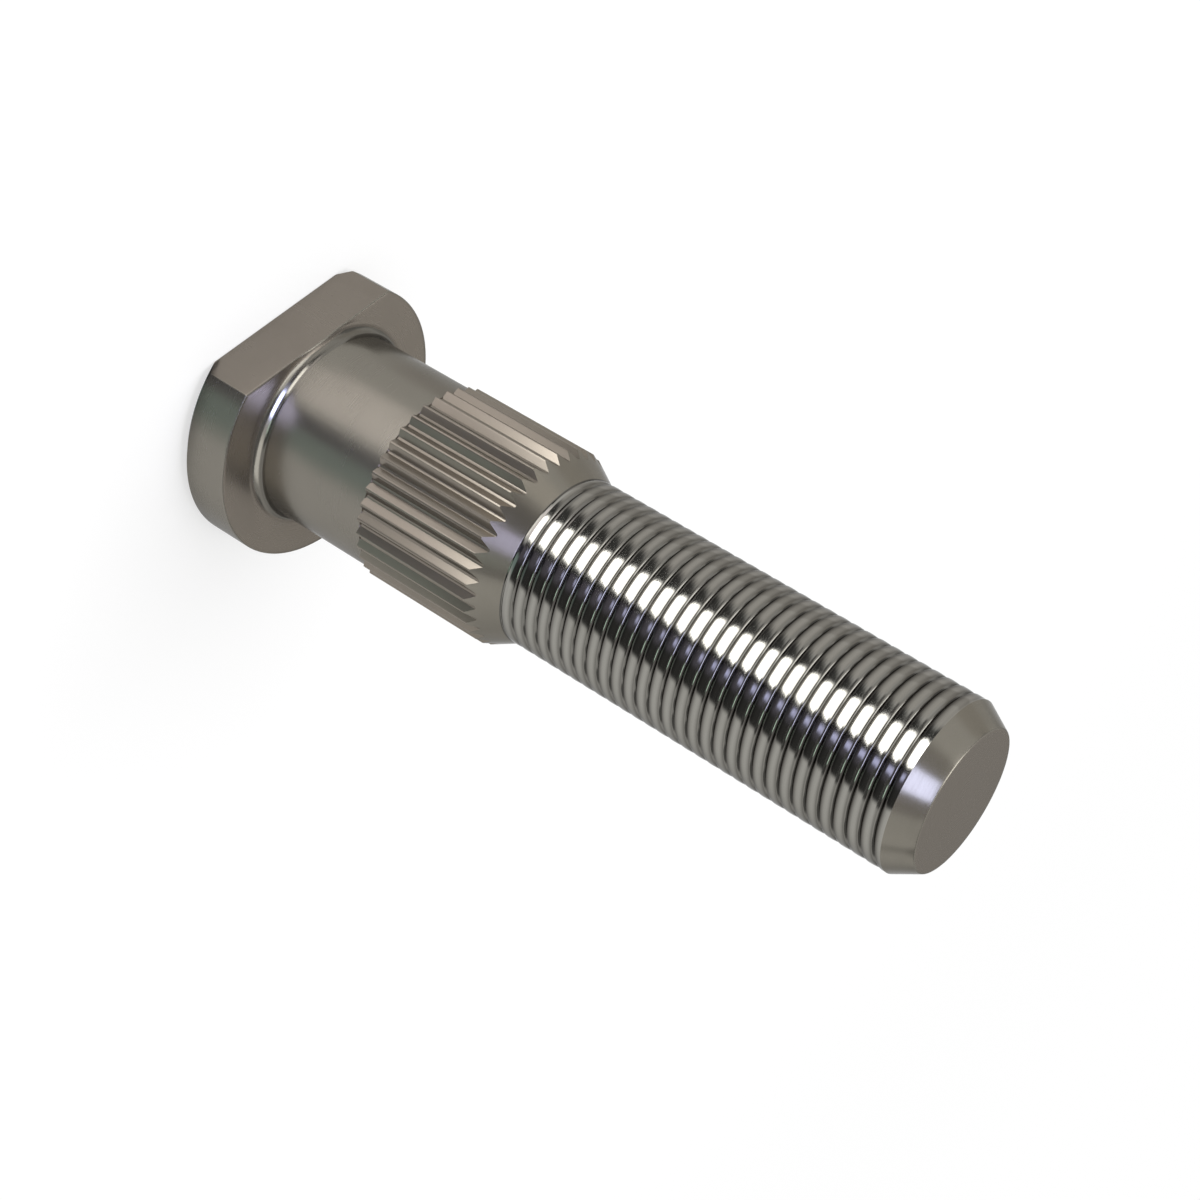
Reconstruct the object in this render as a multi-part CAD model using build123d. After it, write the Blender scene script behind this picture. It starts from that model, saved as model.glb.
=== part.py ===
from build123d import *
from math import cos, pi, radians, sin, sqrt, tan
import os

# A wheel bolt of the press-in kind: a clipped round head, a plain shank, a serrated
# collar that bites into the hub, and a long fine thread for the wheel nut.
# It is one forged and rolled piece of steel. All sizes are millimetres.
# +Z runs along the bolt from the head to the tip, and the origin is the middle of
# the head's back face, so the bolt stands on its head.

# Head: a disc with one side cut flat, which stops the bolt from turning in the hub
head_dia = 30.0
head_height = 6.0
head_chamfer = 1.0          # 45 degrees, round the back face
flat_distance = 11.0        # from the axis to the cut side
head_fillet = 1.2           # between the underside of the head and the shank

# Plain shank between the head and the collar
shank_dia = 20.5
shank_length = 14.0

# Serrated collar: V-grooves all round, with a narrow flat left on every crest
serration_dia = 21.4        # over the crests
serration_depth = 0.6       # the grooves go a little below the shank
serration_length = 14.0     # full-height part of the teeth
tooth_count = 39
crest_flat = 0.15           # width of the flat on each crest

# Taper from the crests down to the thread, on which the grooves run out
taper_length = 3.0

# Thread: M18 x 1.5, drawn as a plain bar of the size over the crests of the thread
thread_dia = 18.0
thread_length = 47.0        # from the end of the taper to the tip
tip_chamfer_depth = 1.5     # measured square to the axis
tip_chamfer_angle = 30.0    # between the chamfer and the axis

# Heights along the bolt, each one standing on the one before
underhead_z = head_height
serration_z = underhead_z + shank_length
taper_z = serration_z + serration_length
thread_z = taper_z + taper_length
tip_z = thread_z + thread_length
tip_chamfer_z = tip_z - tip_chamfer_depth / tan(radians(tip_chamfer_angle))

head_r = head_dia / 2
shank_r = shank_dia / 2
crest_r = serration_dia / 2
thread_r = thread_dia / 2
tip_r = thread_r - tip_chamfer_depth

# Room by which the cutting bodies reach past the metal
spare = 1.0


def turned_blank():
    """The bolt as it would come off a lathe: everything that is round about the axis."""
    fillet_top = (shank_r, underhead_z + head_fillet)
    fillet_middle = (
        shank_r + head_fillet * (1 - cos(pi / 4)),
        underhead_z + head_fillet * (1 - sin(pi / 4)),
    )
    fillet_foot = (shank_r + head_fillet, underhead_z)
    with BuildPart() as blank:
        with BuildSketch(Plane.XZ):
            with BuildLine():
                Polyline(
                    (0, tip_z),
                    (0, 0),
                    (head_r - head_chamfer, 0),
                    (head_r, head_chamfer),
                    (head_r, underhead_z),
                    fillet_foot,
                )
                ThreePointArc(fillet_foot, fillet_middle, fillet_top)
                Polyline(
                    fillet_top,
                    (shank_r, serration_z),
                    (crest_r, serration_z),
                    (crest_r, taper_z),
                    (thread_r, thread_z),
                    (thread_r, tip_chamfer_z),
                    (tip_r, tip_z),
                    (0, tip_z),
                )
            make_face()
        revolve(axis=Axis.Z)
    return blank.part


def head_clip():
    """The block that is sheared off one side of the head, on the -Y side."""
    depth = head_r - flat_distance + spare
    with BuildPart() as clip:
        with Locations((0, -flat_distance, -spare)):
            Box(
                head_dia + 2 * spare,
                depth,
                underhead_z + head_fillet + spare,
                align=(Align.CENTER, Align.MAX, Align.MIN),
            )
    return clip.part


def tooth_outline():
    """Corner points of the toothed section, with one tooth centred on the head's flat.

    The flanks are drawn on until they meet in a point outside the crests. The round
    of the collar then trims each point back to the crest flat.
    """
    half_pitch = pi / tooth_count
    root_r = crest_r - serration_depth
    root_x = root_r * cos(half_pitch)
    root_y = root_r * sin(half_pitch)
    flat_x = sqrt(crest_r ** 2 - (crest_flat / 2) ** 2)
    flat_y = crest_flat / 2
    point_r = flat_x + flat_y * (flat_x - root_x) / (root_y - flat_y)
    points = []
    for tooth in range(tooth_count):
        angle = -pi / 2 + 2 * half_pitch * tooth
        points.append((point_r * cos(angle), point_r * sin(angle)))
        angle += half_pitch
        points.append((root_r * cos(angle), root_r * sin(angle)))
    return points


def groove_cutter():
    """A ring with teeth inside: what the knurling rolls press out of the collar."""
    with BuildPart() as cutter:
        with BuildSketch(Plane.XY.offset(serration_z)):
            Circle(crest_r + serration_depth + spare)
            with BuildLine():
                Polyline(*tooth_outline(), close=True)
            make_face(mode=Mode.SUBTRACT)
        extrude(amount=thread_z - serration_z)
    return cutter.part


def wheel_bolt():
    """The finished bolt: the turned blank with its flat and its serrations."""
    with BuildPart() as bolt:
        add(turned_blank())
        add(head_clip(), mode=Mode.SUBTRACT)
        add(groove_cutter(), mode=Mode.SUBTRACT)
    return bolt.part


os.makedirs("parts", exist_ok=True)
export_step(wheel_bolt(), "parts/wheel_bolt.step")
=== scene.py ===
# %% [markdown]
# # A wheel bolt, from its head to its tip
#
# This bolt holds a road wheel to its hub. It is one piece of steel, pressed into the
# hub from behind: a round head with one side cut off, a plain shank, a toothed collar
# that bites into the hub's hole, and a long fine thread for the wheel nut.
#
# A CAD solid of the bolt is there already, as a fixed frame. It is exact but plain,
# with a smooth bar where the thread should be. Here we build the surface that the eye
# sees: a single closed mesh with a true helical thread, steel materials, and a small
# studio with the cards that shiny metal needs.

# %% Load the fixed frame
from math import acos, atan2, cos, degrees, hypot, log, log2, pi, radians, sin, sqrt, tan

import bmesh
import bpy
from mathutils import Matrix, Vector


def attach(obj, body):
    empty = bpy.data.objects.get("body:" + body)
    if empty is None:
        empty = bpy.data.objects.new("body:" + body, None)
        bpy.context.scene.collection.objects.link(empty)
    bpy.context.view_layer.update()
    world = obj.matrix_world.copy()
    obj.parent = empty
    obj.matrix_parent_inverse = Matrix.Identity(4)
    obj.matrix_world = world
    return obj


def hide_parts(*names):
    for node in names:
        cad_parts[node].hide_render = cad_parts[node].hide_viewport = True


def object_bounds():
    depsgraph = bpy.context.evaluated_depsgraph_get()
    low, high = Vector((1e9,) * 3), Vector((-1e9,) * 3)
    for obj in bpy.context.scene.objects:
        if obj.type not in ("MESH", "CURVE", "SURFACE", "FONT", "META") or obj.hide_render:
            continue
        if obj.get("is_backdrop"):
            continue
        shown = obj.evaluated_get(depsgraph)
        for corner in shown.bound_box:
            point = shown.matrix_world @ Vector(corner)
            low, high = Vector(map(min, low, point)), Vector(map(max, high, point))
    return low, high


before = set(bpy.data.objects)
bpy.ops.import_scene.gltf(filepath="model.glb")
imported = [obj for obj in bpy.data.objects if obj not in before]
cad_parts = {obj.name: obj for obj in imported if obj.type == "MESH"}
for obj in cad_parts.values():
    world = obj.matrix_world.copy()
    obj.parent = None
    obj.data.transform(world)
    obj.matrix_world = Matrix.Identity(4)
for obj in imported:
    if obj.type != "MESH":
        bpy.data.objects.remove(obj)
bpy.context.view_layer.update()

# %% [markdown]
# ## The sizes
#
# Blender works in metres, but a bolt is easier to think of in millimetres. All sizes
# below are in millimetres, and one factor, `MM`, turns them into metres when a point
# is stored. The bolt stands on its head, its axis is Z, and the cut side of the head
# faces -Y.

# %% Sizes of the bolt
MM = 0.001

HEAD_R, HEAD_TOP, HEAD_CHAMFER, HEAD_FLAT = 14.99, 6.0, 1.0, 11.0
SHANK_R, FILLET = 10.25, 1.2
CREST_R, TOOTH_DEPTH, TEETH, CREST_FLAT = 10.7, 0.6, 39, 0.15
COLLAR_FOOT, COLLAR_TOP = 20.0, 34.0
THREAD_R, THREAD_FOOT, PITCH = 9.0, 37.0, 1.5
CHAMFER_FOOT, TIP_TOP, TIP_R = 81.402, 84.0, 7.5
EDGE = 0.12  # how far sharp corners are rounded off
print("The bolt is", TIP_TOP, "mm long, its head", 2 * HEAD_R, "mm wide")

# %% [markdown]
# ## One skin, made of rings
#
# The skin is laid like the hoops of a barrel. We start in the middle of the head's
# back face and add ring after ring: outwards, up the head, in along its top, up the
# shank and the collar. Every ring has the same number of points, so two neighbours
# are joined by four-sided faces. This gives clean, even faces, which shade smoothly
# and take a close look better than the result of cutting solids with each other.
#
# Each point also carries three numbers for the materials: how far along the profile
# it lies (for turning marks), how much of an edge it is (for wear), and how deep in a
# groove it is (for oil in the grooves, and for painted shade in those of the thread).

# %% A small kit for laying rings
points, along_profile, edge_mark, groove_shade_and_oil = [], [], [], []
faces, face_zone = [], []
BODY, FLAT, COLLAR, THREAD, FACE, HOLLOW, TIP = range(7)  # one finish for each zone


def add_point(x, y, z, along=0.0, edge=0.0, groove=0.0):
    points.append((x * MM, y * MM, z * MM))
    along_profile.append(along)
    edge_mark.append(edge)
    groove_shade_and_oil.append(groove)
    return len(points) - 1


def add_face(corners, zone):
    faces.append(corners)
    face_zone.append(zone)


def join(lower, upper, zone):
    """Close the gap between two rings of equal length, and hand back the upper one."""
    count = len(lower)
    for i in range(count):
        j = (i + 1) % count
        corners = []
        for corner in (lower[i], lower[j], upper[j], upper[i]):
            if corner not in corners:
                corners.append(corner)
        if len(corners) > 2:
            add_face(corners, zone[i] if isinstance(zone, list) else zone)
    return upper


# %% [markdown]
# ## Where the columns run
#
# The toothed collar decides where the points of every ring stand, because each tooth
# needs a point at both edges of its crest, on both flanks and in the groove. Angles
# are counted from -Y, the cut side of the head, and a tooth is centred there.
#
# The rolls that press the teeth have worn, rounded points. So the crest and the root
# of each tooth have a small rounding, and the flat flank between them is a little
# steeper than a straight line from crest to root would be.

# %% Columns of the toothed collar
HALF_PITCH = pi / TEETH
CREST_ROUNDING, ROOT_ROUNDING = 0.035, 0.136  # their reach along the tooth's width
CREST_DROP, ROOT_RISE = 0.02, 0.036  # and across it
root_r = CREST_R - TOOTH_DEPTH
root_x, root_y = root_r * cos(HALF_PITCH), root_r * sin(HALF_PITCH)
crest_y = CREST_FLAT / 2
flank_top = (CREST_R - CREST_DROP, crest_y + CREST_ROUNDING)
flank_foot = (root_x + ROOT_RISE, root_y - ROOT_ROUNDING)


def on_flank(share):
    """Angle and radius of a point on the flat flank: 0 is its top, 1 is its foot."""
    x = flank_top[0] + (flank_foot[0] - flank_top[0]) * share
    y = flank_top[1] + (flank_foot[1] - flank_top[1]) * share
    return atan2(y, x), hypot(x, y)


def shank_crossing():
    """The share at which a flank comes up out of the shank's surface."""
    low, high = 0.0, 1.0
    for _ in range(40):
        middle = (low + high) / 2
        if on_flank(middle)[1] > SHANK_R:
            low = middle
        else:
            high = middle
    return low


crossing_angle = on_flank(shank_crossing())[0]
half_tooth = [
    # angle, radius, edge mark, groove mark
    (atan2(crest_y, CREST_R), CREST_R, 1.0, 0.0),
    (*on_flank(0.0), 0.6, 0.0),
    (*on_flank(0.12), 0.0, 0.0),
    (crossing_angle, SHANK_R, 0.0, 0.3),
    (*on_flank(0.9), 0.0, 0.5),
    (*on_flank(1.0), 0.0, 0.8),
]
root = (HALF_PITCH, root_r, 0.0, 1.0)

columns = []
for tooth in range(TEETH):
    centre = (tooth - TEETH // 2) * 2 * HALF_PITCH
    for angle, radius, edge, groove in reversed(half_tooth):
        columns.append((centre - angle, radius, edge, groove))
    for angle, radius, edge, groove in half_tooth + [root]:
        columns.append((centre + angle, radius, edge, groove))
angles = [c[0] for c in columns]
flank_slope = (flank_top[0] - flank_foot[0]) / (flank_foot[1] - flank_top[1])
groove_angle = 180 - 2 * degrees(atan2(flank_slope, 1)) + 360 / TEETH
print("Columns round the bolt:", len(columns))
print("Groove angle in degrees:", round(groove_angle, 1))

# %% [markdown]
# ## The head's D-shaped outline
#
# Seen from above, the head is a circle with one side cut off. The corners where the
# cut meets the circle are rounded by a tenth of a millimetre: no real edge is
# perfectly sharp, and the rounding catches a thin line of light.
#
# `d_outline` gives the same columns on every outline, whatever its radius, so the
# corner always runs down the same column. The chamfer round the back face is then
# just a smaller outline, one millimetre lower.

# %% The outline and the head's rings
CORNER_STEPS = 4
BEFORE_CORNER = radians(2.0)  # so much before the corner its first column may stand
head_corner = acos((HEAD_FLAT - EDGE) / (HEAD_R - EDGE))
first_corner = next(i for i, a in enumerate(angles) if a > head_corner - BEFORE_CORNER)
last_corner = first_corner + CORNER_STEPS


def d_outline(radius, flat, column):
    """The point of one column on a circle with its -Y side cut off."""
    turn = acos((flat - EDGE) / (radius - EDGE))
    corner_x = (radius - EDGE) * sin(turn)
    angle = angles[column]
    side = 1 if angle >= 0 else -1
    if side < 0:
        column = len(angles) - 2 - column  # its mirror image on the other side
    if column < first_corner:
        return side * corner_x * tan(abs(angle)) / tan(angles[first_corner]), -flat
    if column <= last_corner:
        part = (column - first_corner) / CORNER_STEPS * turn
        return side * (corner_x + EDGE * sin(part)), EDGE - flat - EDGE * cos(part)
    share = (abs(angle) - angles[last_corner]) / (pi - angles[last_corner])
    turned = turn + share * (pi - turn)
    return side * radius * sin(turned), -radius * cos(turned)


def d_ring(radius, flat, height, along, edge=0.0, scale=1.0):
    """A ring on the D-shaped outline. Height is a number, or a function of the radius."""
    ring = []
    for i in range(len(columns)):
        x, y = d_outline(radius, flat, i)
        z = height(hypot(x, y)) if callable(height) else height
        on_cut_side = abs(y + flat) < 0.01
        mark = 0.0 if on_cut_side and flat == HEAD_FLAT else edge
        ring.append(add_point(x * scale, y * scale, z, along, mark))
    return ring


middles = [(a + b) / 2 for a, b in zip(angles, angles[1:])]
side_zone = [FLAT if abs(middle) < angles[first_corner] else BODY for middle in middles]
side_zone.append(BODY)  # between the last column and the first


def head_surface(radius):
    """Height of the head's top face and of the fillet that rises from it."""
    if radius >= SHANK_R + FILLET:
        return HEAD_TOP
    reach = SHANK_R + FILLET - radius
    return HEAD_TOP + FILLET - sqrt(max(FILLET ** 2 - reach ** 2, 0.0))


back = HEAD_R - HEAD_CHAMFER
previous = [add_point(0, 0, 0)] * len(columns)
for scale in (0.12, 0.3, 0.5, 0.7, 0.86, 0.95):
    ring = d_ring(back - EDGE, HEAD_FLAT - EDGE, 0.0, back * scale, 0.0, scale)
    previous = join(previous, ring, FACE)

half = EDGE * 0.3
head_profile = [
    # radius, distance of the cut side, height, edge mark, zone below
    (back - EDGE, HEAD_FLAT - EDGE, 0.0, 0.2, FACE),
    (back - half, HEAD_FLAT - half, half, 1.0, BODY),
    (back + EDGE * 0.7, HEAD_FLAT, EDGE, 0.2, BODY),
    (HEAD_R - EDGE * 0.7, HEAD_FLAT, HEAD_CHAMFER - EDGE * 0.7, 0.2, "side"),
    (HEAD_R - half * 0.5, HEAD_FLAT, HEAD_CHAMFER, 1.0, "side"),
    (HEAD_R, HEAD_FLAT, HEAD_CHAMFER + EDGE, 0.2, "side"),
    (HEAD_R, HEAD_FLAT, 2.2, 0.0, "side"),
    (HEAD_R, HEAD_FLAT, 3.6, 0.0, "side"),
    (HEAD_R, HEAD_FLAT, 4.9, 0.0, "side"),
]
along = back
for radius, flat, height, edge, zone in head_profile:
    along += 0.5
    ring = d_ring(radius, flat, height, along, edge)
    previous = join(previous, ring, side_zone if zone == "side" else zone)

rim = [(0.0, EDGE * 2, 0.1), (0.0, EDGE, 0.5), (half, half, 1.0), (EDGE, 0.0, 0.5)]
for inset, drop, edge in rim:
    along += 0.4
    ring = d_ring(
        HEAD_R - inset, HEAD_FLAT - inset,
        lambda r, d=drop: head_surface(r) - d, along, edge,
    )
    previous = join(previous, ring, side_zone if inset == 0.0 else BODY)
print("Points after the head's sides:", len(points))

# %% [markdown]
# ## The top of the head, the fillet and the shank
#
# The head is joined to the shank by a fillet, a hollow rounding that keeps the bolt
# from cracking there. On the cut side the fillet is a little wider than the head
# itself. So each column measures how much room it has, and spreads its points over
# that room: the heights still come from the true fillet, and no faces fold over.

# %% Head top and fillet
RIM_LEFT = 0.06  # width of the level rim that is left at least beside the fillet
outline = [d_outline(HEAD_R - EDGE, HEAD_FLAT - EDGE, i) for i in range(len(columns))]
outline_r = [hypot(x, y) for x, y in outline]
outline_a = [atan2(x, -y) for x, y in outline]


def round_point(angle, radius, z, along, edge=0.0, groove=0.0):
    """A point at an angle that is counted from -Y, the cut side of the head."""
    return add_point(radius * sin(angle), -radius * cos(angle), z, along, edge, groove)


def top_ring(share, blend, along):
    """A ring between the shank (share 0) and the head's outline (share 1)."""
    ring = []
    for i in range(len(columns)):
        room = min(outline_r[i] - RIM_LEFT, SHANK_R + FILLET)
        if share <= 1.0:
            radius = SHANK_R + (room - SHANK_R) * share
        else:
            radius = room + (outline_r[i] - room) * (share - 1.0)
        angle = outline_a[i] + (angles[i] - outline_a[i]) * blend
        ring.append(round_point(angle, radius, head_surface(radius), along))
    return ring


for share in (1.9, 1.5, 1.12, 1.0):
    along += 0.9
    ring = top_ring(share, 0.0, along)
    previous = join(previous, ring, FACE)

FILLET_STEPS, FACED_STEPS = 14, 4  # the lathe tool has faced the foot of the fillet too
for step in range(1, FILLET_STEPS + 1):
    turn = pi / 2 * step / FILLET_STEPS
    along += FILLET * pi / 2 / FILLET_STEPS
    ring = top_ring(1 - sin(turn), step / FILLET_STEPS, along)
    previous = join(previous, ring, FACE if step <= FACED_STEPS else HOLLOW)


def round_ring(radius, z, along, edge=0.0, groove=0.0, stops=angles):
    return [round_point(angle, radius, z, along, edge, groove) for angle in stops]


def along_at(z):
    """Place along the profile, wherever it runs up the side of the bolt."""
    return z + 20


for z in (7.45, 10.0, 13.3, 16.6, 19.6, 19.88):
    ring = round_ring(SHANK_R, z, along_at(z))
    previous = join(previous, ring, BODY)
print("Points up to the collar:", len(points))

# %% [markdown]
# ## The toothed collar
#
# The collar is made by rolling a toothed wheel over it, which presses grooves in and
# raises teeth between them. The grooves go a little deeper than the shank, so at the
# head side each tooth and each groove has its own small end wall. A ring of the shank
# and a ring of the teeth meet at the same height, and share their points just where
# a flank comes up through the shank's surface.
#
# At the other end the collar tapers down to the thread. A flank is flat and the taper
# is a cone, so the groove runs out in a point. Each column finds the height at which
# its own radius meets the cone, which gives the saw-tooth edge.

# %% Teeth and taper
TAPER = (CREST_R - THREAD_R) / (THREAD_FOOT - COLLAR_TOP)
END_WALL = 1.0  # place along the profile that the small end walls take up
shank_end = round_ring(SHANK_R, COLLAR_FOOT, along_at(COLLAR_FOOT), 0.1)
join(previous, shank_end, BODY)

collar_foot = []
for i, (angle, radius, edge, groove) in enumerate(columns):
    if radius == SHANK_R:
        collar_foot.append(shank_end[i])
        continue
    place = along_at(COLLAR_FOOT) + END_WALL
    collar_foot.append(round_point(angle, radius, COLLAR_FOOT, place, edge, groove))
join(shank_end, collar_foot, COLLAR)

previous = collar_foot
run_out = [COLLAR_TOP + (CREST_R - radius) / TAPER for _, radius, _, _ in columns]
for share in (0.02, 0.25, 0.5, 0.75, 1.0):
    ring = []
    for (angle, radius, edge, groove), top in zip(columns, run_out):
        z = COLLAR_FOOT + (top - COLLAR_FOOT) * share
        ring.append(round_point(angle, radius, z, along_at(z), edge, groove))
    previous = join(previous, ring, COLLAR)
print("Grooves run out between", COLLAR_TOP, "and", round(max(run_out), 2), "mm")

for z in (35.35, 36.0, 36.7, 36.93):
    ring = round_ring(CREST_R - TAPER * (z - COLLAR_TOP), z, along_at(z))
    previous = join(previous, ring, TIP)
taper_end = round_ring(THREAD_R - 0.01, THREAD_FOOT + 0.02, along_at(THREAD_FOOT), 0.0, 0.8)
join(previous, taper_end, TIP)

# %% [markdown]
# ## The thread
#
# An M18 thread with a pitch of 1.5 mm: the ridge climbs 1.5 mm each turn. It is
# pressed between dies, not cut, so the steel flows up into ridges with broad, round
# crests and narrow roots. A bump map could fake it, but only geometry gives the wavy
# outline and the dark roots.
#
# The profile is written as the lean of the surface at some places of the pitch, since
# the lean decides what the metal mirrors: nearly level on the broad crest, then a
# quick turn into the flank. Adding up the leans gives the depth. The colour darkens
# in the root and on the flank that faces the head: a little oil, and painted shade
# that deepens the dark lines between the ridges.
#
# The rows of points follow the ridge, so each row winds round the bolt as a helix.
# Going once round, a row arrives one pitch higher. At the two ends the rows have to
# stop at a flat circle: rows enter at the foot and leave at the top one at a time,
# and a triangle closes the gap at each such place.

# %% Profile of the thread
ROUND = 120  # points round the bolt on each row
FOOT_FADE, TOP_FADE = 0.5, 0.35  # over so many mm the grooves run out at the two ends
NECK_DEPTH, NECK_LENGTH = 0.09, 0.3  # a small dip at the foot of the thread
ROW_GAP = 0.004  # no row comes nearer than this to the end circles
CREST_BAND = 0.03  # down to this depth a crest counts as an edge

toward_tip = [
    # share of the pitch from the crest, lean in degrees, darkening (oil and painted shade)
    (0.0, 4, 0.0), (0.10, 6, 0.08), (0.19, 9, 0.32), (0.265, 12, 0.56), (0.29, 17, 0.6),
    (0.325, 22, 0.6), (0.345, 35, 0.6), (0.37, 43, 0.6), (0.45, 46, 0.7), (0.485, 40, 0.9),
    (0.5, 0, 1.0),
]
toward_head = [
    (0.0, -4, 0.0), (0.14, -2, 0.12), (0.26, 1, 0.48), (0.36, 4, 0.85), (0.39, 22, 0.95),
    (0.41, 48, 1.0), (0.43, 66, 1.0), (0.485, 60, 1.0), (0.5, 0, 1.0),
]


def add_up_leans(side):
    """Depth in mm under the crest at each place of one side of the ridge."""
    depths = [0.0]
    for (a, lean_a, _), (b, lean_b, _) in zip(side, side[1:]):
        drop = (tan(radians(lean_a)) + tan(radians(lean_b))) / 2 * (b - a) * PITCH
        depths.append(depths[-1] + drop)
    return depths


tip_depths, head_depths = add_up_leans(toward_tip), add_up_leans(toward_head)
summit = min(head_depths)
root_depth = tip_depths[-1] - summit
stretch = root_depth / (head_depths[-1] - summit)
thread_rows = [
    (share * PITCH, depth - summit, dirt)
    for (share, _, dirt), depth in zip(toward_tip, tip_depths)
]
for (share, _, dirt), depth in list(zip(toward_head, head_depths))[-2:0:-1]:
    thread_rows.append(((1 - share) * PITCH, (depth - summit) * stretch, dirt))
print("Depth of the thread:", round(root_depth, 3), "mm, flank stretched by", round(stretch, 2))
thread_foot_z, thread_top_z = THREAD_FOOT + 0.14, CHAMFER_FOOT
print("Rows per turn:", len(thread_rows), "and", ROUND, "points round")


def ease(x):
    """A smooth step from 0 to 1."""
    x = min(max(x, 0.0), 1.0)
    return x * x * (3 - 2 * x)


def thread_radius(depth, z):
    """Radius at this depth of the profile, and how much of the groove is left here."""
    fade = ease((z - thread_foot_z) / FOOT_FADE) * ease((thread_top_z - z) / TOP_FADE)
    neck = NECK_DEPTH * (1 - ease((z - thread_foot_z) / NECK_LENGTH))
    return THREAD_R - depth * fade - neck, fade


def thread_column(turn):
    """The points of one column: (row number, point), from the foot to the top."""
    angle = 2 * pi * turn
    column = []
    first = int((thread_foot_z - 2 * PITCH) / PITCH)
    last = int(thread_top_z / PITCH) + 2
    for lap in range(first, last):
        for k, (offset, depth, dirt) in enumerate(thread_rows):
            z = PITCH * (lap + turn) + offset
            if not thread_foot_z + ROW_GAP < z < thread_top_z - ROW_GAP:
                continue
            radius, fade = thread_radius(depth, z)
            edge = max(0.0, 1 - depth / CREST_BAND)
            point = round_point(angle, radius, z, along_at(z), edge, dirt * fade)
            column.append((lap * len(thread_rows) + k, point))
    return column


def stitch(lower, upper, zone):
    """Close the gap between two rings that have different numbers of points."""
    turn_low = [k / len(lower) for k in range(len(lower) + 1)]
    turn_up = [k / len(upper) for k in range(len(upper) + 1)]
    i = j = 0
    while i < len(lower) or j < len(upper):
        a, b = lower[i % len(lower)], upper[j % len(upper)]
        if j == len(upper) or (i < len(lower) and turn_low[i + 1] <= turn_up[j + 1]):
            i += 1
            add_face([a, lower[i % len(lower)], b], zone)
        else:
            j += 1
            add_face([a, upper[j % len(upper)], b], zone)


turns = [k / ROUND - 0.5 for k in range(ROUND)]
stops = [2 * pi * turn for turn in turns]
foot_r = thread_radius(0.0, thread_foot_z)[0]
foot_place, top_place = along_at(thread_foot_z), along_at(thread_top_z)
# The groove values of the rings on both sides darken this stitch: oil in the dip, and a painted
# line of shade.
thread_foot = round_ring(foot_r, thread_foot_z, foot_place, 0.0, 1.0, stops)
thread_columns = [thread_column(turn) for turn in turns]
thread_top = round_ring(THREAD_R, thread_top_z, top_place, 0.6, 0.0, stops)
stitch(taper_end, thread_foot, THREAD)

for i in range(ROUND):
    j = (i + 1) % ROUND
    lap_shift = len(thread_rows) if j == 0 else 0
    left = dict(thread_columns[i])
    right = {row - lap_shift: point for row, point in thread_columns[j]}
    shared = sorted(set(left) & set(right))
    for row in shared[:-1]:
        add_face([left[row], right[row], right[row + 1], left[row + 1]], THREAD)
    low, high = shared[0], shared[-1]
    below = [right[r] for r in sorted(right) if r < low]
    above = [left[r] for r in sorted(left) if r > high]
    chain = [thread_foot[j]] + below + [right[low]]
    for a, b in zip(chain, chain[1:]):
        add_face([thread_foot[i], a, b], THREAD)
    add_face([thread_foot[i], right[low], left[low]], THREAD)
    chain = [left[high]] + above + [thread_top[i]]
    for a, b in zip(chain, chain[1:]):
        add_face([right[high], b, a], THREAD)
    add_face([right[high], thread_top[j], thread_top[i]], THREAD)
print("Turns of thread:", round((thread_top_z - thread_foot_z) / PITCH, 1))

# %% [markdown]
# ## The tip
#
# The tip is chamfered at 30 degrees to the axis, so that the nut finds its way on. A
# last rounding leads to the flat end face, which is closed with a fan of triangles.

# %% Chamfer and end face
slope = tan(radians(30))
chamfer = [
    (THREAD_R - slope * (z - CHAMFER_FOOT), z, edge)
    for z, edge in ((CHAMFER_FOOT + 0.1, 0.1), (82.3, 0.0), (83.2, 0.0), (83.86, 0.1))
]
rounding = [(TIP_R + 0.02, 83.95, 0.3), (TIP_R - 0.06, 83.992, 0.3), (TIP_R - 0.12, 84.0, 0.1)]
previous = thread_top
for radius, z, edge in chamfer + rounding:
    ring = round_ring(radius, z, along_at(z), edge, 0.0, stops)
    previous = join(previous, ring, TIP)
for radius in (7.0, 5.2, 3.4, 1.6, 0.5):
    ring = round_ring(radius, TIP_TOP, along_at(TIP_TOP) + TIP_R - radius, stops=stops)
    previous = join(previous, ring, FACE)
tip_centre = add_point(0, 0, TIP_TOP, along_at(TIP_TOP) + TIP_R)
join(previous, [tip_centre] * ROUND, FACE)
print("Faces of the whole skin:", len(faces))

# %% [markdown]
# ## From lists to a mesh
#
# Blender takes the lists as they are. The three numbers of each point become mesh
# attributes, which a material can read. A face with a corner of more than 24 degrees
# to its neighbour gets a sharp edge there, so the flanks of the teeth stay flat, while
# the thread and the small roundings stay smooth.

# %% Build the mesh piece
mesh = bpy.data.meshes.new("wheel_bolt_skin")
mesh.from_pydata(points, [], faces)
for name, values in (
    ("along_profile", along_profile), ("edge_mark", edge_mark), ("groove_shade_and_oil", groove_shade_and_oil),
):
    mesh.attributes.new(name, "FLOAT", "POINT").data.foreach_set("value", values)
mesh.polygons.foreach_set("material_index", face_zone)
mesh.polygons.foreach_set("use_smooth", [True] * len(faces))

SHARP = radians(24)
work = bmesh.new()
work.from_mesh(mesh)
open_edges = [e for e in work.edges if len(e.link_faces) != 2]
for edge in work.edges:
    if len(edge.link_faces) != 2:
        continue
    if all(face.material_index == THREAD for face in edge.link_faces):
        continue
    edge.smooth = edge.calc_face_angle(0.0) < SHARP
volume = work.calc_volume(signed=True)
work.to_mesh(mesh)
work.free()
mesh.update()


def new_object(name, data):
    thing = bpy.data.objects.new(name, data)
    bpy.context.scene.collection.objects.link(thing)
    return thing


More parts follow.
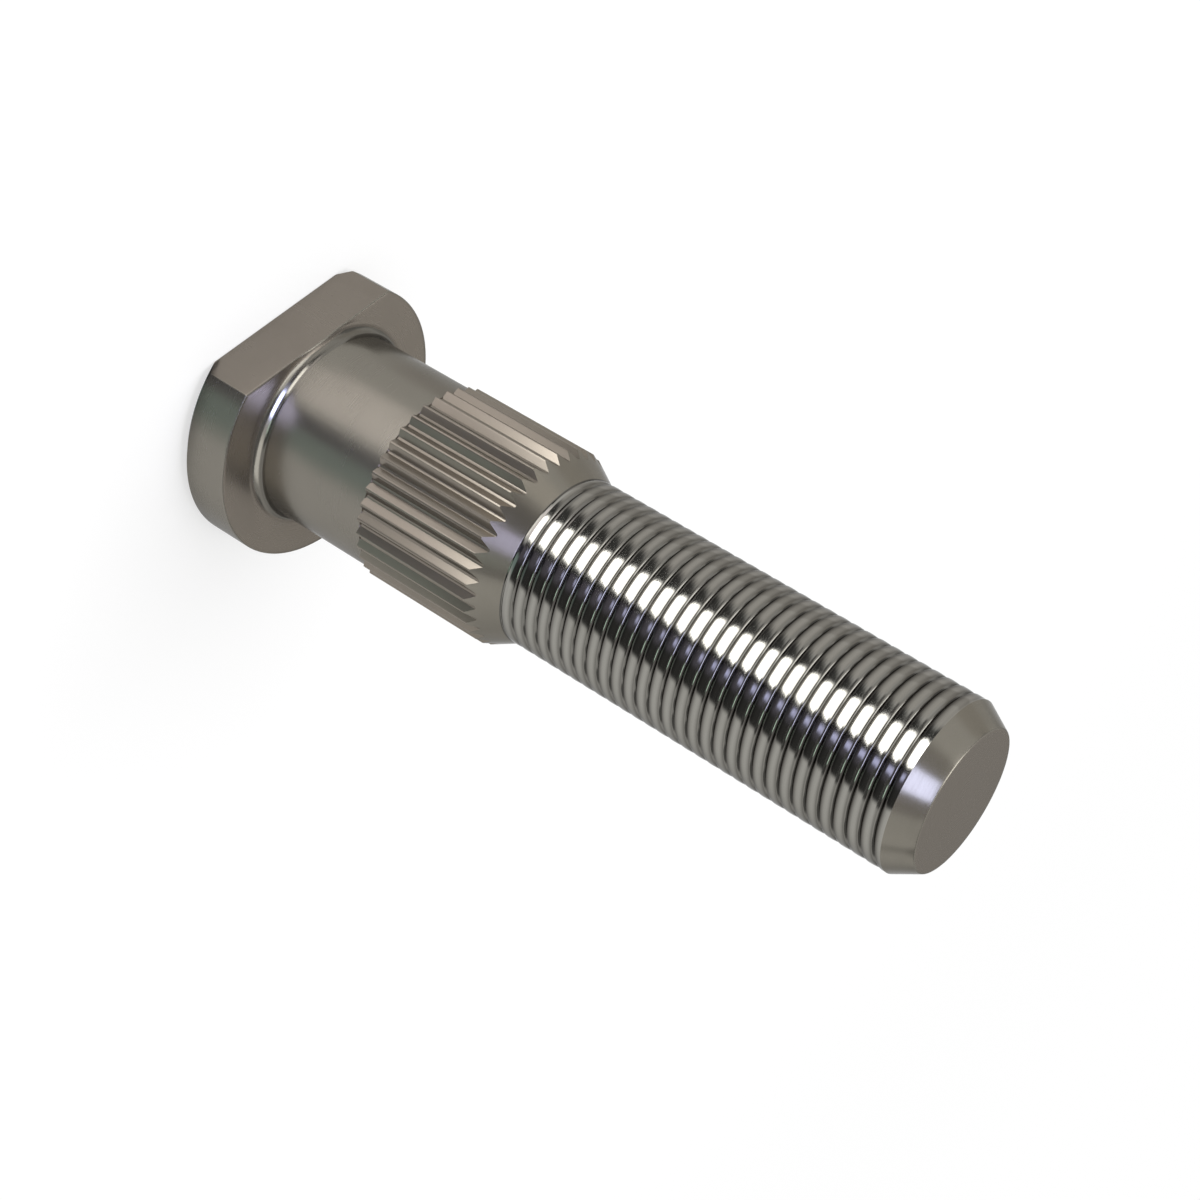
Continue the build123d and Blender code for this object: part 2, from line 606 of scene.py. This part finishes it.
bolt = new_object("steel_bolt_skin", mesh)
triangles = sum(len(f) - 2 for f in faces)
print("Triangles:", triangles, " open edges:", len(open_edges))
print("Volume in cubic mm:", round(volume * 1e9))

# %% [markdown]
# ## Shader node groups
#
# Several finishes of this bolt share the same effects, so each effect is a node group
# with named inputs and outputs, built once and placed in each material with its own
# values:
#
# - `tool lines`: fine scratches left by a tool. Stretched noise is cheap and never
#   repeats. Its coordinates decide which way the lines run.
# - `oil mottle`: slow, cloudy changes that a thin film of oil leaves on steel.
# - `rubbed edges`: bright, broken lines where an edge has been handled.
# - `steel tone`: mixes all of this into one colour and one roughness.

# %% A helper for node groups
def new_group(name, inputs, outputs):
    """A new node group, with what its inputs give and what its outputs take."""
    group = bpy.data.node_groups.new(name, "ShaderNodeTree")
    for way, sockets in (("INPUT", inputs), ("OUTPUT", outputs)):
        for label, kind in sockets:
            group.interface.new_socket(label, in_out=way, socket_type="NodeSocket" + kind)
    enter, leave = group.nodes.new("NodeGroupInput"), group.nodes.new("NodeGroupOutput")
    return group, enter.outputs, leave.inputs


def add_node(tree, kind, settings=None, **inputs):
    """Add a node and fill or link its inputs, by name or by number, as in i0."""
    node = tree.nodes.new(kind)
    for key, value in (settings or {}).items():
        setattr(node, key, value)
    for key, value in inputs.items():
        by_number = key[0] == "i" and key[1:].isdigit()
        socket = node.inputs[int(key[1:]) if by_number else key]
        if isinstance(value, bpy.types.NodeSocket):
            tree.links.new(value, socket)
        else:
            socket.default_value = value
    return node


def arithmetic(tree, operation, a, b):
    return add_node(tree, "ShaderNodeMath", {"operation": operation}, i0=a, i1=b).outputs[0]


def multiply(tree, a, b):
    return arithmetic(tree, "MULTIPLY", a, b)


def noise(tree, place, scale, detail, roughness, distortion=0.0):
    return add_node(
        tree, "ShaderNodeTexNoise", Vector=place, Scale=scale, Detail=detail,
        Roughness=roughness, Distortion=distortion,
    ).outputs["Fac"]


def stretch_range(tree, value, first, last, low=0.0, high=1.0, settings=None):
    """Turn first to last into low to high, and stop there."""
    node = add_node(
        tree, "ShaderNodeMapRange", settings, i0=value, i1=first, i2=last, i3=low, i4=high
    )
    return node.outputs[0]


def blend_colour(tree, share, a, b):
    """Mix two colours. The sockets 6 and 7 are the colour ones of this node."""
    node = add_node(tree, "ShaderNodeMix", {"data_type": "RGBA"}, i0=share, i6=a, i7=b)
    return node.outputs[2]


# %% Group: tool lines
lines, given, result = new_group(
    "tool lines", [("Coordinates", "Vector")], [("Height", "Float"), ("Tone", "Float")]
)
fine = noise(lines, given["Coordinates"], 1.0, 3.0, 0.6)
wide = noise(lines, given["Coordinates"], 0.23, 1.0, 0.5)
mixed = multiply(lines, fine, wide)
lines.links.new(multiply(lines, mixed, 2.0), result["Height"])
lines.links.new(stretch_range(lines, fine, 0.3, 0.7), result["Tone"])

# %% Group: oil mottle
mottle, given, result = new_group(
    "oil mottle", [("Position", "Vector"), ("Size", "Float")],
    [("Cloud", "Float"), ("Speckle", "Float")],
)
same = given["Size"]
sizes = add_node(mottle, "ShaderNodeCombineXYZ", X=same, Y=same, Z=same).outputs[0]
spread = add_node(
    mottle, "ShaderNodeVectorMath", {"operation": "DIVIDE"}, i0=given["Position"], i1=sizes
).outputs[0]
cloud = noise(mottle, spread, 1.0, 4.0, 0.55, 0.6)
speckle = noise(mottle, spread, 26.0, 2.0, 0.6)
mottle.links.new(stretch_range(mottle, cloud, 0.35, 0.68), result["Cloud"])
mottle.links.new(stretch_range(mottle, speckle, 0.45, 0.75), result["Speckle"])

# %% Group: rubbed edges
rubbed, given, result = new_group(
    "rubbed edges", [("Edge", "Float"), ("Position", "Vector"), ("Amount", "Float")],
    [("Mask", "Float")],
)
broken = noise(rubbed, given["Position"], 0.9, 4.0, 0.65)
patchy = stretch_range(rubbed, broken, 0.3, 0.6, 0.35, 1.0)
strength = multiply(rubbed, given["Edge"], patchy)
mask = multiply(rubbed, strength, given["Amount"])
rubbed.links.new(mask, result["Mask"])

# %% Group: steel tone
FILM_SHARE, LINE_SHARE = 0.45, 0.22  # how much the oil film and the tool lines colour
RUBBED_SMOOTH = 0.08  # how much smoother a rubbed edge is
# The near-black that the groove values blend towards: a little oil, and painted shade in the
# grooves of the thread.
SHADE_AND_OIL_COLOUR = (0.03, 0.027, 0.022, 1)
steels = [(label, "Color") for label in ("Steel", "Oiled", "Rubbed")]
amounts = [
    (label, "Float") for label in ("Cloud", "Lines", "Wear", "Dirt", "Gloss", "Spread")
]
tone_group, given, result = new_group(
    "steel tone", steels + amounts, [("Color", "Color"), ("Roughness", "Float")]
)
film = multiply(tone_group, given["Cloud"], FILM_SHARE)
colour = blend_colour(tone_group, film, given["Steel"], given["Oiled"])
lined = multiply(tone_group, given["Lines"], LINE_SHARE)
colour = blend_colour(tone_group, lined, colour, given["Oiled"])
colour = blend_colour(tone_group, given["Wear"], colour, given["Rubbed"])
colour = blend_colour(tone_group, given["Dirt"], colour, SHADE_AND_OIL_COLOUR)
tone_group.links.new(colour, result["Color"])
rough = given["Gloss"]
for mark in ("Cloud", "Lines"):
    rougher = multiply(tone_group, given[mark], given["Spread"])
    rough = arithmetic(tone_group, "ADD", rough, rougher)
smoother = multiply(tone_group, given["Wear"], RUBBED_SMOOTH)
rough = arithmetic(tone_group, "SUBTRACT", rough, smoother)
tone_group.links.new(rough, result["Roughness"])
print("Node groups:", [g.name for g in bpy.data.node_groups])

# %% [markdown]
# ## The finishes
#
# One bolt, several finishes, because each part of it met another tool:
#
# - turned steel on the shank, the head's rim and its chamfer, with lines that run
#   round the bolt;
# - faced steel on the ends, with lines in circles about the axis;
# - trimmed steel on the cut side, with lines that run the way the cutter went;
# - rolled teeth, with lines along the bolt, rubbed crests and oil in the grooves;
# - the rolled thread, pressed smooth between dies and far brighter than the rest;
# - the hollow under the head, burnished by a roll, which makes the bolt stronger;
# - the taper and the tip's chamfer, turned with a finer cut.
#
# The turning lines use the distance along the profile, which runs across them on the
# shank and on the faces alike, so one recipe serves both.
#
# Chrome gets brighter where the eye just grazes it, but bare steel hardly does. The
# grazing tint holds that brightening back. The rolled thread is bare metal. The rest
# has a thin grey skin, which scatters some light, so it is a little less metallic.

# %% The recipe of a steel finish
GRAZING_TINT = (0.52, 0.52, 0.52, 1)


def steel(name, bareness, base, oiled, rubbed_colour, gloss, spread, lines_run, width, length,
          bump, wear, dirt, size, grit):
    material = bpy.data.materials.new(name)
    material.use_nodes = True
    tree = material.node_tree
    shader = tree.nodes["Principled BSDF"]
    shader.inputs["Metallic"].default_value = bareness
    shader.inputs["Specular Tint"].default_value = GRAZING_TINT
    shader.inputs["Specular IOR Level"].default_value = 0.1

    def read(mark):
        node = add_node(tree, "ShaderNodeAttribute", {"attribute_name": mark})
        return node.outputs["Fac"]

    place = add_node(tree, "ShaderNodeTexCoord").outputs["Object"]
    in_mm = add_node(tree, "ShaderNodeVectorMath", {"operation": "SCALE"}, i0=place)
    in_mm.inputs["Scale"].default_value = 1 / MM
    split = add_node(tree, "ShaderNodeSeparateXYZ", i0=in_mm.outputs[0])
    x, y, z = split.outputs
    if lines_run == "round":
        parts = [(read("along_profile"), width), (x, length), (y, length)]
    else:
        parts = [(x, width), (y, width), (z, length)]
    scaled = [arithmetic(tree, "DIVIDE", value, by) for value, by in parts]
    run = add_node(tree, "ShaderNodeCombineXYZ", i0=scaled[0], i1=scaled[1], i2=scaled[2])

    def group(tree_group, **inputs):
        return add_node(tree, "ShaderNodeGroup", {"node_tree": tree_group}, **inputs)

    marks = group(lines, Coordinates=run.outputs[0])
    clouds = group(mottle, Position=in_mm.outputs[0], Size=size)
    worn = group(rubbed, Edge=read("edge_mark"), Position=in_mm.outputs[0], Amount=wear)
    tones = group(
        tone_group, Steel=base, Oiled=oiled, Rubbed=rubbed_colour,
        Cloud=clouds.outputs["Cloud"], Lines=marks.outputs["Tone"], Wear=worn.outputs["Mask"],
        Dirt=multiply(tree, read("groove_shade_and_oil"), dirt),
        Gloss=gloss, Spread=spread,
    )
    tree.links.new(tones.outputs["Color"], shader.inputs["Base Color"])
    tree.links.new(tones.outputs["Roughness"], shader.inputs["Roughness"])

    grains = multiply(tree, clouds.outputs["Speckle"], grit)
    relief = arithmetic(tree, "ADD", marks.outputs["Height"], grains)
    raised = add_node(tree, "ShaderNodeBump", Height=relief, Strength=1.0, Distance=bump * MM)
    tree.links.new(raised.outputs["Normal"], shader.inputs["Normal"])
    return material


# %% [markdown]
# Colours are easiest to judge as they are read on a screen, from 0 to 255. A shader
# wants them as shares of light, so `rgb` turns the one into the other, by the standard
# curve of screens.

# %% Steel materials
def rgb(*readings):
    """A colour as it is read on a screen (0 to 255), as the linear one of a shader."""
    shares = [reading / 255 for reading in readings]
    light = [c / 12.92 if c <= 0.04045 else ((c + 0.055) / 1.055) ** 2.4 for c in shares]
    return (*light, 1)


finishes = [
    # name, bareness, colour, oiled colour, rubbed colour,
    # roughness and its spread, way of the lines, their width and length in mm,
    # their height in mm, wear, groove darkening (oil and painted shade), size of the oil clouds
    # in mm, grit
    steel("turned steel", 0.8, rgb(127, 123, 114), rgb(118, 114, 105), rgb(142, 137, 128),
          0.23, 0.03, "round", 0.11, 9.0, 0.0007, 0.25, 0.0, 7.0, 0.0),
    steel("trimmed steel", 0.8, rgb(126, 119, 110), rgb(117, 110, 101), rgb(140, 133, 123),
          0.26, 0.04, "lengthwise", 0.10, 5.0, 0.0008, 0.2, 0.0, 6.0, 0.1),
    steel("rolled teeth", 0.7, rgb(129, 122, 112), rgb(120, 114, 105), rgb(142, 136, 126),
          0.19, 0.03, "lengthwise", 0.09, 4.0, 0.0005, 0.1, 0.05, 5.0, 0.0),
    # The thread's strong groove darkening is mostly painted shade between its ridges, with a
    # little oil.
    steel("rolled thread", 1.0, rgb(153, 151, 145), rgb(143, 141, 134), rgb(158, 156, 150),
          0.09, 0.03, "round", 0.10, 14.0, 0.0004, 0.2, 0.8, 6.0, 0.0),
    steel("faced steel", 0.8, rgb(121, 114, 105), rgb(113, 107, 98), rgb(134, 128, 119),
          0.24, 0.04, "round", 0.13, 10.0, 0.0005, 0.2, 0.0, 7.0, 0.1),
    steel("burnished hollow", 0.85, rgb(112, 109, 102), rgb(104, 101, 94), rgb(130, 126, 118),
          0.14, 0.03, "round", 0.11, 9.0, 0.0006, 0.3, 0.0, 7.0, 0.0),
    steel("chamfered tip", 0.8, rgb(124, 120, 111), rgb(114, 110, 101), rgb(140, 135, 126),
          0.17, 0.03, "round", 0.11, 9.0, 0.0007, 0.25, 0.0, 7.0, 0.0),
]
for material in finishes:
    mesh.materials.append(material)
    print("Finish:", material.name)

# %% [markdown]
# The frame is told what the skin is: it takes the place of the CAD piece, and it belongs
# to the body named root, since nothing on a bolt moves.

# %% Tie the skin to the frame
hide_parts("wheel_bolt")
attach(bolt, "root")
print(bolt.name, "takes the place of the CAD piece wheel_bolt")

# %% [markdown]
# ## The camera
#
# The picture was taken from above and to the right of the cut side, with the camera
# turned about its own axis so that the bolt lies aslant. The three directions below
# are the camera's own: to the right, down and forward in the picture. They were fitted
# with the bolt's near side towards +X, and are then turned about its axis.

# %% Camera at the photograph's viewing angle
TURN = radians(53.69)
CAMERA_PLACE = (226.5, 0.0, 152.6)
fitted = Matrix((
    (-0.376879, -0.511418, 0.772278),
    (-0.219385, 0.859320, 0.461996),
    (-0.899907, 0.004691, -0.436057),
))
about_z = Matrix.Rotation(TURN, 3, "Z")
directions = fitted @ about_z
camera_data = bpy.data.cameras.new("photo_camera")
camera = new_object("photo_camera", camera_data)
right, down, forward = (Vector(row) for row in directions)
placing = Matrix((right, -down, -forward)).transposed().to_4x4()
placing.translation = about_z.transposed() @ Vector(CAMERA_PLACE) * MM
camera.matrix_world = placing
camera_data.sensor_width = 36.0
camera_data.lens = 78.52
camera_data.clip_start = 0.005
bpy.context.scene.camera = camera
print("Camera in mm:", [round(v / MM, 1) for v in placing.translation])

# %% [markdown]
# ## The floor and the background
#
# The floor is plain and nearly white. A matt floor lit by soft light is never quite
# even, so for what the camera sees, and for what the metal mirrors, it is mixed with
# a plain white glow. The rest of the mix is still matt, and keeps the soft shadow. Far
# from the bolt only the glow is left, so that the floor runs into the white background
# without a line.

# %% Floor
FLOOR_REACH = 3.0  # in metres, as all floor sizes
FLOOR_LEVEL = -0.00002  # a hair under the bolt
FADE_FROM, FADE_TO = 0.08, 0.5  # distance over which the glow takes over
NEAR_GLOW, FAR_GLOW = 0.6, 1.0


def empty_tree(owner):
    owner.use_nodes = True
    owner.node_tree.nodes.clear()
    return owner.node_tree


def white_for_eye_and_metal(tree):
    """1 for rays that the camera or a mirror sends out, 0 for all other light."""
    ray = tree.nodes.new("ShaderNodeLightPath").outputs
    seen = arithmetic(tree, "MAXIMUM", ray["Is Camera Ray"], ray["Is Glossy Ray"])
    return arithmetic(tree, "MAXIMUM", seen, ray["Is Transmission Ray"])


floor_mesh = bpy.data.meshes.new("studio_floor")
ways = ((-1, -1), (1, -1), (1, 1), (-1, 1))
floor_corners = [(FLOOR_REACH * x, FLOOR_REACH * y, FLOOR_LEVEL) for x, y in ways]
floor_mesh.from_pydata(floor_corners, [], [(0, 1, 2, 3)])
floor = new_object("studio_floor", floor_mesh)
paper = bpy.data.materials.new("pale paper")
tree = empty_tree(paper)
matt = add_node(tree, "ShaderNodeBsdfDiffuse", Color=(0.86, 0.86, 0.86, 1))
glow = add_node(tree, "ShaderNodeEmission", Color=(1, 1, 1, 1), Strength=1.0)
spot = add_node(tree, "ShaderNodeTexCoord").outputs["Object"]
distance = add_node(tree, "ShaderNodeVectorMath", {"operation": "LENGTH"}, i0=spot)
whiter = stretch_range(
    tree, distance.outputs["Value"], FADE_FROM, FADE_TO, NEAR_GLOW, FAR_GLOW,
    {"interpolation_type": "SMOOTHSTEP"},
)
share = multiply(tree, white_for_eye_and_metal(tree), whiter)
mix = add_node(tree, "ShaderNodeMixShader", i0=share, i1=matt.outputs[0], i2=glow.outputs[0])
add_node(tree, "ShaderNodeOutputMaterial", Surface=mix.outputs[0])
floor_mesh.materials.append(paper)
floor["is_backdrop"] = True
print("Floor:", 2 * FLOOR_REACH, "m wide")

# %% [markdown]
# A white world lights the bolt softly from all sides, as a light tent does. One wide
# lamp above adds a little shade under the head. The metal doesn't mirror it.

# %% White all round, and one soft lamp
world = bpy.data.worlds.new("white studio")
bpy.context.scene.world = world
tree = empty_tree(world)
dim = add_node(tree, "ShaderNodeBackground", Color=(1, 1, 1, 1), Strength=0.85)
white = add_node(tree, "ShaderNodeBackground", Color=(1, 1, 1, 1), Strength=1.0)
share = white_for_eye_and_metal(tree)
mix = add_node(tree, "ShaderNodeMixShader", i0=share, i1=dim.outputs[0], i2=white.outputs[0])
add_node(tree, "ShaderNodeOutputWorld", Surface=mix.outputs[0])

lamp_data = bpy.data.lights.new("soft_lamp", "AREA")
lamp_data.shape = "SQUARE"
lamp_data.size = 0.5
lamp_data.energy = 3.0
lamp = new_object("soft_lamp", lamp_data)
lamp.location = (-0.15, -0.2, 0.7)
lamp.rotation_euler = (-lamp.location).to_track_quat("-Z", "Y").to_euler()
lamp.visible_glossy = False
print("Lamp:", lamp_data.energy, "watts,", lamp_data.size, "m wide")

# %% [markdown]
# ## Cards for the metal
#
# Bare steel has no shading of its own: it only mirrors what stands round it, and in a
# white room it looks flat and grey. A photographer therefore puts up cards, bright
# ones for the highlights and dark ones for the lines that give a round bar its shape.
#
# The first cards are fields of one wide ring that lies on the floor round the bolt.
# Only mirrored rays see it. Its colours are stored in its points, and each field can
# end softly, as a card does that is bent away. Close under the head the ring carries a
# painted contact shadow, darker as any floor is where something stands on it.
#
# The long white card lies a little askew on the black ones, and their sides are torn.
# That makes the broken, uneven highlight that runs down the thread.
#
# When a mirror turns by some degrees, the mirrored ray turns by twice as many. So a
# card whose edge should show k degrees off the side that faces the camera stands 2k
# degrees off. The shank and the head mirror the near part of the ring, and the thread
# the far part, so every card has a near and a far colour. 1 is the white of the room.

# %% Plan of the ring of cards
camera_side = atan2(placing.translation.y, placing.translation.x)
NEAR_END, FAR_START, WIDEST = 64.0, 78.0, 690.0  # distances from the bolt's axis in mm
WHITE = (1.0, 1.0, 1.0)

ring_cards = [
    # name, first distance, from, to, softness of both sides, near colour, far colour;
    # a colour of one number is a grey
    ("beside, left", 0, 28, 78, 4, 6, (1.08, 1.08, 1.10), 0.98),
    ("behind, left", 0, 74, 120, 8, 1, 0.80, 0.90),
    ("behind, right", 27, -120, -74, 1, 8, 0.80, 0.92),
    ("edge, right", 27, -78, -60, 6, 6, 0.94, (0.98, 0.96, 0.95)),
    ("grey, right", 27, -64, -50, 4, 4, (0.74, 0.71, 0.70), (0.68, 0.66, 0.64)),
    ("beside, right", 27, -50, -30, 4, 4, None, (0.84, 0.82, 0.80)),
    ("green shadow", 0, 10, 25, 3, 14, (0.40, 0.54, 0.52), None),
    ("dark, left", 0, 1, 11, 6, 6, (0.05, 0.05, 0.07), None),
    ("white, near", 20, -30, -4, 4, 6, (1.80, 1.72, 1.74), None),
    ("black, far left", 0, -1, 26, 2, 4, None, 0.06),
    ("black, far right", 0, -34, -20, 8, 2, None, 0.09),
    ("white, far", 0, -19.5, -3.3, 1, 1, None, 8.5),
    ("haze, far left", 0, 2, 12, 3, 5, None, (0.17, 0.16, 0.20)),
    ("lavender, far left", 240, 3.5, 7.5, 3, 3, None, (1.3, 1.35, 2.1)),
]
# how much the sides of a far card slant, in degrees for each doubling of the distance
slants = {"white, far": (0.0, 1.2), "black, far right": (3.5, 0.0)}
SLANT_START = 110.0
TEARS = ((0.9, 19), (0.5, 47))  # how deep they are in degrees, how close they follow

# A painted contact shadow on the ring of cards, close under the head on the left side.
UNDER_HEAD = 16.0  # nearer than this the ring is darker, on the left side
DARKEST, LESS_DARK = 0.4, 0.75
LIGHTER_FROM, LIGHTER_OVER = 28, 22  # in degrees
print("Cards on the ring:", [c[0] for c in ring_cards])

# %% Colours of the ring
def blend(colour, other, share):
    if isinstance(other, float):
        other = (other,) * 3
    return tuple(a + (b - a) * share for a, b in zip(colour, other))


def cover(value, first, last, soft_first, soft_last):
    """1 between first and last, and 0 outside, with soft sides."""
    return ease((value - first) / soft_first + 0.5) * ease((last - value) / soft_last + 0.5)


def torn(radius):
    """How far the torn side of a card is off here, in degrees."""
    return sum(deep * sin(close * log(radius)) for deep, close in TEARS)


def ring_colour(k, radius):
    """What the ring shows k degrees off the camera's side, at this distance."""
    far_share = ease((radius - NEAR_END) / (FAR_START - NEAR_END))
    colour = WHITE
    doublings = max(0.0, log2(radius / SLANT_START))
    for name, first, k_from, k_to, soft_from, soft_to, near, far in ring_cards:
        if radius < first:
            continue
        if name in slants:
            k_from += slants[name][0] * doublings + torn(radius * 1.1)
            k_to += slants[name][1] * doublings + torn(radius)
        here = cover(k, k_from, k_to, soft_from, soft_to)
        if near:
            colour = blend(colour, near, here * (1 - far_share))
        if far:
            colour = blend(colour, far, here * far_share)
    if radius < UNDER_HEAD and k > 0:
        share = DARKEST + (LESS_DARK - DARKEST) * ease((k - LIGHTER_FROM) / LIGHTER_OVER)
        colour = tuple(c * share for c in colour)
    return colour


# %% Paper and cards
def glowing_paper(name, downwards_only):
    """A card that shines in the colours which are stored in its points."""
    material = bpy.data.materials.new(name)
    tree = empty_tree(material)
    stored = add_node(tree, "ShaderNodeAttribute", {"attribute_name": "glow"})
    glow = add_node(tree, "ShaderNodeEmission", Color=stored.outputs["Color"], Strength=1.0)
    surface = glow.outputs[0]
    if downwards_only:
        clear = add_node(tree, "ShaderNodeBsdfTransparent")
        side = add_node(tree, "ShaderNodeNewGeometry").outputs["Backfacing"]
        surface = add_node(
            tree, "ShaderNodeMixShader", i0=side, i1=surface, i2=clear.outputs[0]
        ).outputs[0]
    add_node(tree, "ShaderNodeOutputMaterial", Surface=surface)
    return material


def add_card(name, rows, steps, place, colour_at, downwards_only=False):
    """A sheet that only mirrored rays see. Row and step decide place and colour."""
    sheet = bpy.data.meshes.new(name)
    across = len(steps)
    card_faces = [
        (a, a + 1, a + across + 1, a + across)
        for row in range(len(rows) - 1)
        for a in range(row * across, (row + 1) * across - 1)
    ]
    spots = [(step, row) for row in rows for step in steps]
    sheet.from_pydata([tuple(v * MM for v in place(*spot)) for spot in spots], [], card_faces)
    glow = sheet.attributes.new("glow", "FLOAT_COLOR", "POINT")
    glow.data.foreach_set("color", [v for spot in spots for v in (*colour_at(*spot), 1.0)])
    sheet.materials.append(glowing_paper(name + " paper", downwards_only))
    card = new_object(name, sheet)
    card.visible_camera = card.visible_diffuse = card.visible_transmission = False
    card.visible_shadow = card.visible_volume_scatter = False
    card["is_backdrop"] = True
    print("Card sheet:", name, "with", len(card_faces), "faces")


# %% The ring on the floor
HEAD_SEES = 25.5  # up to this distance the head mirrors the ring, beyond it the shank
RING_LEVEL = 0.2


def beside(sideways, reach, height):
    """A point so many degrees off the camera's side, and so far from the axis."""
    heading = camera_side + radians(sideways)
    return reach * cos(heading), reach * sin(heading), height


def mirrored_point(k, radius):
    """Where the ray mirrored k degrees off the camera's side is, at this radius."""
    if radius < HEAD_R:
        return beside(k, radius, RING_LEVEL)
    start_radius = HEAD_R if radius < HEAD_SEES else SHANK_R
    sx, sy, _ = beside(k, start_radius, RING_LEVEL)
    dx, dy, _ = beside(2 * k, 1.0, RING_LEVEL)
    along_ray = -(sx * dx + sy * dy) + sqrt(
        (sx * dx + sy * dy) ** 2 + radius ** 2 - start_radius ** 2
    )
    return sx + along_ray * dx, sy + along_ray * dy, RING_LEVEL


ring_radii = [13.2, 14.9, 15.3, 18, 19.9, 21, 25, 26, 28, 32, 40, 50, NEAR_END, FAR_START]
while ring_radii[-1] < WIDEST:
    ring_radii.append(ring_radii[-1] * 1.03)
ring_steps = [0.5 * s for s in range(-170, 171)]
add_card("ring_of_cards", ring_radii, ring_steps, mirrored_point, ring_colour)

# %% [markdown]
# ## Cards in the sky
#
# The taper and the tip's chamfer lean back, so they mirror the sky in front of the
# bolt. A cool lamp stands there, with a grey flag on both sides, and gives them one
# lavender glint. The flanks of the thread and of the teeth mirror other places of the
# sky, which get cards of their own. These cards are fields of a curved sheet far away,
# so here the angles are the real directions, seen from the bolt.

# %% Cards in the sky
SKY, SEEN_FROM = 700.0, 50.0  # distance, and the height from which angles are counted
sky_cards = [
    # name, sideways from, to, upwards from, to, softness, colour
    ("grey, behind right", -260, -140, 4, 22, 10, 0.62),
    ("grey, behind left", 140, 260, 4, 22, 10, 0.62),
    ("grey, far right", -132, -98, -8, 14, 12, (0.80, 0.78, 0.76)),
    ("grey, low right", -122, -90, 4, 30, 8, (0.74, 0.71, 0.67)),
    ("grey, far left", 54, 150, -8, 6, 6, 0.85),
    ("pale, left", 58, 160, 12, 30, 8, 1.15),
    ("dark, high left", 56, 88, 47, 90, 5, 0.30),
    ("dark, left", 84, 108, 38, 90, 5, 0.30),
    ("dark, behind left", 104, 156, 21, 90, 5, 0.30),
    ("dark, right", -114, -88, 39, 90, 5, 0.32),
    ("dark, behind right", -156, -108, 24, 90, 5, 0.32),
    ("flag, right", -44, -4, 12, 70, 12, (0.50, 0.48, 0.47)),
    ("flag, left", 20, 56, 12, 70, 10, (0.52, 0.49, 0.49)),
    ("flag, below", -10, 28, 12, 60, 8, (0.48, 0.46, 0.45)),
    ("high grey, right", -48, -4, 52, 90, 6, 2.2),
    ("high black, left", -4, 56, 52, 90, 8, 0.18),
    ("white, high right", -88, -44, 47, 90, 5, 4.2),
    ("flag, low right", -34, -3, 14, 35, 8, (0.10, 0.09, 0.09)),
    ("pale, low right", -76, -46, 18, 28, 5, (1.4, 1.35, 1.30)),
    ("low black, left", -4, 56, -8, 24, 6, 0.15),
    ("low black, right", -53, -42, -8, 17, 5, 0.22),
    ("low black, far right", -61, -50, -8, 5, 5, 0.22),
    ("low white", -39, -5, -8, 13, 4, 6.0),
    ("lavender glint", 7, 16, -8, 3, 5, (1.5, 1.55, 2.4)),
    ("green glint", 27, 42, 10, 21, 4, (2.8, 3.9, 3.3)),
    ("cool lamp, below", 0, 25, 28, 44, 4, (2.8, 2.8, 4.4)),
    ("cool lamp", -7, 27, 38, 48, 3, (5.8, 6.3, 9.4)),
]


def sky_colour(sideways, upwards):
    colour = WHITE
    for _, side_from, side_to, up_from, up_to, soft, tint in sky_cards:
        here = cover(sideways, side_from, side_to, soft, soft)
        here *= cover(upwards, up_from, up_to, soft, soft)
        colour = blend(colour, tint, here)
    return colour


def sky_point(sideways, upwards):
    lift = radians(upwards)
    return beside(sideways, SKY * cos(lift), SKY * sin(lift) + SEEN_FROM)


add_card("sky_cards", range(-4, 79), range(-180, 181), sky_point, sky_colour)

# %% [markdown]
# ## A strip overhead, and cards between head and collar
#
# The small roundings of the thread and the fillet look almost straight up. A white
# strip hangs over the bolt for them, in line with the camera.
#
# Where the head's top and the foot of the shank mirror each other, the light has been
# weakened twice, and a plain white room leaves them too dark. Level cards at the height
# of the collar shine down into that corner. From above they are clear, so that nothing
# else on the bolt mirrors them.

# %% Strip overhead
STRIP_LEVEL, STRIP_LIGHT = 300.0, (4.5, 4.5, 4.5)
STRIP_REACH, STRIP_SIDES = (-260, 60), (-66, -8)  # along the view and across it


def strip_point(side, reach):
    x, y = cos(camera_side), sin(camera_side)
    return x * reach - y * side, y * reach + x * side, STRIP_LEVEL


add_card(
    "white_strip_overhead", STRIP_REACH, STRIP_SIDES, strip_point, lambda *_: STRIP_LIGHT
)

# %% Level cards
LEVEL, LEVEL_FROM, LEVEL_TO = 36.0, 34.0, 90.0  # height, and distances from the axis
level_cards = [
    # name, sideways from, to, softness, colour
    ("lavender", -5, 25, 8, (14.5, 16.2, 29.0)),
    ("pale", 22, 46, 12, 1.5),
    ("brighter", 46, 98, 16, 2.9),
]


def level_point(sideways, radius):
    return beside(sideways, radius, LEVEL)


def level_colour(sideways, _):
    colour = WHITE
    for _, side_from, side_to, soft, tint in level_cards:
        colour = blend(colour, tint, cover(sideways, side_from, side_to, soft, soft))
    return colour


add_card(
    "level_cards", (LEVEL_FROM, LEVEL_TO), range(-12, 121, 2), level_point, level_colour,
    downwards_only=True,
)

# %% [markdown]
# ## Last settings
#
# The Standard view shows colours as they are written. The size of the finished skin
# is printed at the end.

# %% Sizes and finish
bpy.context.scene.view_settings.view_transform = "Standard"
low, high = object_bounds()
print("Visual box in mm:", [round(1000 * v, 3) for v in (*low, *high)])
